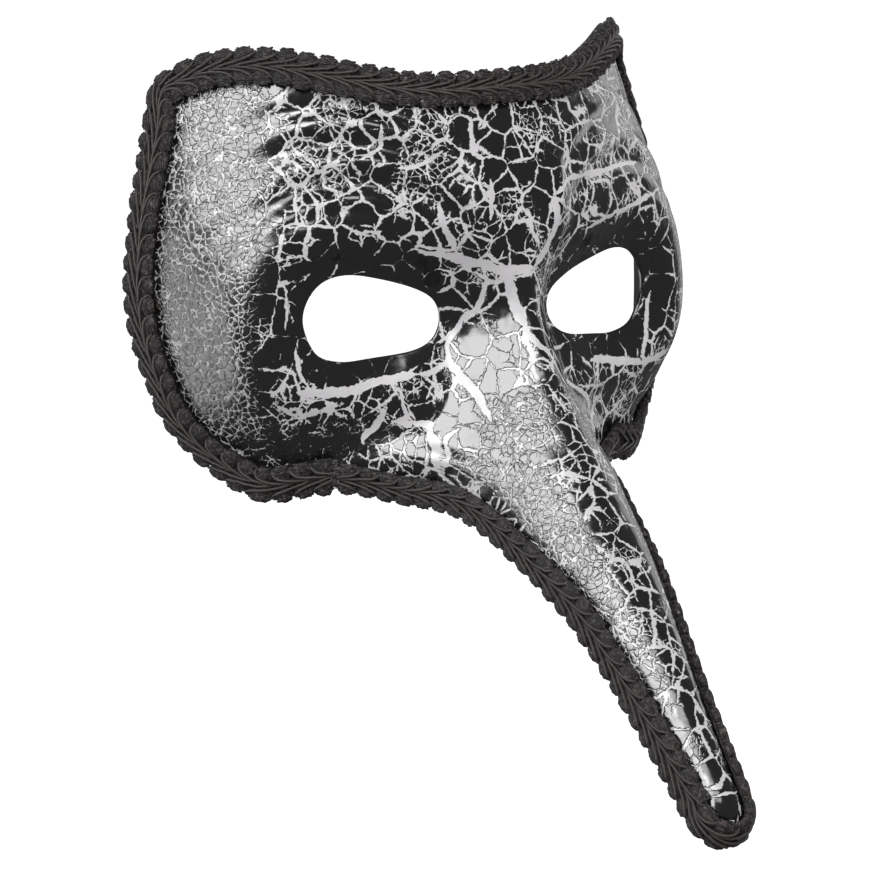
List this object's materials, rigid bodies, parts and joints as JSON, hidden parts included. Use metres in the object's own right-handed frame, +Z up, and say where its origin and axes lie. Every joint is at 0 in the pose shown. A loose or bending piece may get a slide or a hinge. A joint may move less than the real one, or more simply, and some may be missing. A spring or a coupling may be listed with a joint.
{
  "type": "plague doctor mask",
  "caption": "Half-face masquerade mask with a long down-sloping nose, crackled black lacquer over silver, and a scalloped braid round its rim.",
  "frame": {"origin": "midway between the two eye openings, level with the wearer's eyes, where the mask is carried by a face", "axes": "+X to the right of someone facing the mask, -Y the way the nose points, +Z up as worn"},
  "size_m": [0.1546, 0.1431, 0.1777],
  "materials": {
    "shell": "glossy black crackle lacquer over a silver-white base",
    "eyelet": "dark, dulled",
    "braid_loops": "fuzzy woven gimp yarn",
    "braid_cord": "smooth twisted cord",
    "glue": "clear-milky hot glue"
  },
  "bodies": {
    "root": {"shell": "shell", "strap_eyelet_left": "eyelet", "strap_eyelet_right": "eyelet", "face_braid_outer_loops": "braid_loops", "face_braid_inner_loops": "braid_loops", "face_braid_spine_outer": "braid_cord", "face_braid_spine_inner": "braid_cord", "face_braid_glue": "glue", "nose_braid_outer_loops": "braid_loops", "nose_braid_inner_loops": "braid_loops", "nose_braid_spine_outer": "braid_cord", "nose_braid_spine_inner": "braid_cord", "nose_braid_glue": "glue"}
  },
  "joints": []
}
